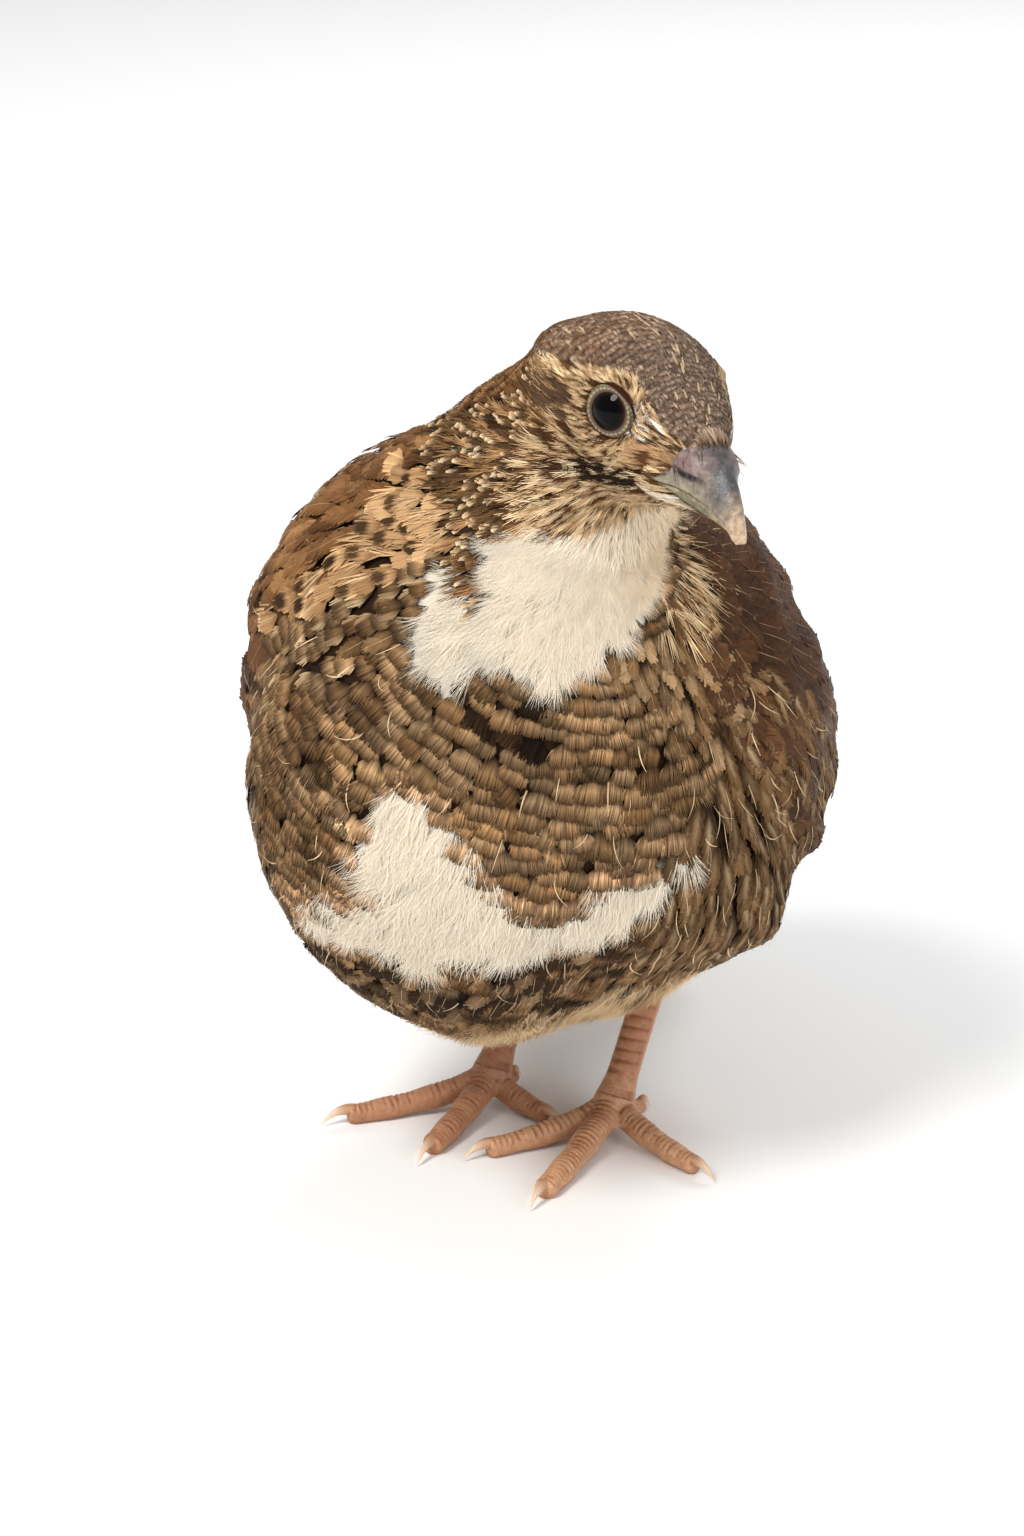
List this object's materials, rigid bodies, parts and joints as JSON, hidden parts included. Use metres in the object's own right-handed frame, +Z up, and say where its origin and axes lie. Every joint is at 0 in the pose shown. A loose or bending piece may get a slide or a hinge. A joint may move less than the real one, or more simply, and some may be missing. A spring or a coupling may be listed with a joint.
{
  "type": "still model of a quail",
  "caption": "Life-size still model of a coturnix quail standing on both feet, with its head turned to its left.",
  "frame": {"origin": "middle of the bounding box, on the floor the bird stands on", "axes": "+Z up, -Y the way the breast faces, +X the bird's left side"},
  "size_m": [0.0836, 0.1291, 0.1318],
  "materials": {
    "plumage": "soft, barred brown and buff feathers with white at the throat and belly",
    "wing": "firm dark brown feathers with pale shafts",
    "bill": "smooth blue-grey horn with a pale tip",
    "eye": "wet black-brown",
    "leg": "pinkish scaly skin",
    "claw": "pale translucent horn"
  },
  "bodies": {
    "root": {"bill_lower": "bill", "bill_upper": "bill", "claw_hind_left": "claw", "claw_hind_right": "claw", "claw_inner_left": "claw", "claw_inner_right": "claw", "claw_middle_left": "claw", "claw_middle_right": "claw", "claw_outer_left": "claw", "claw_outer_right": "claw", "eye_left": "eye", "eye_right": "eye", "head": "plumage", "neck": "plumage", "tail": "wing", "tarsus_left": "leg", "tarsus_right": "leg", "toe_hind_left": "leg", "toe_hind_right": "leg", "toe_inner_left": "leg", "toe_inner_right": "leg", "toe_middle_left": "leg", "toe_middle_right": "leg", "toe_outer_left": "leg", "toe_outer_right": "leg", "torso": "plumage", "wing_left": "wing", "wing_right": "wing"}
  },
  "joints": []
}
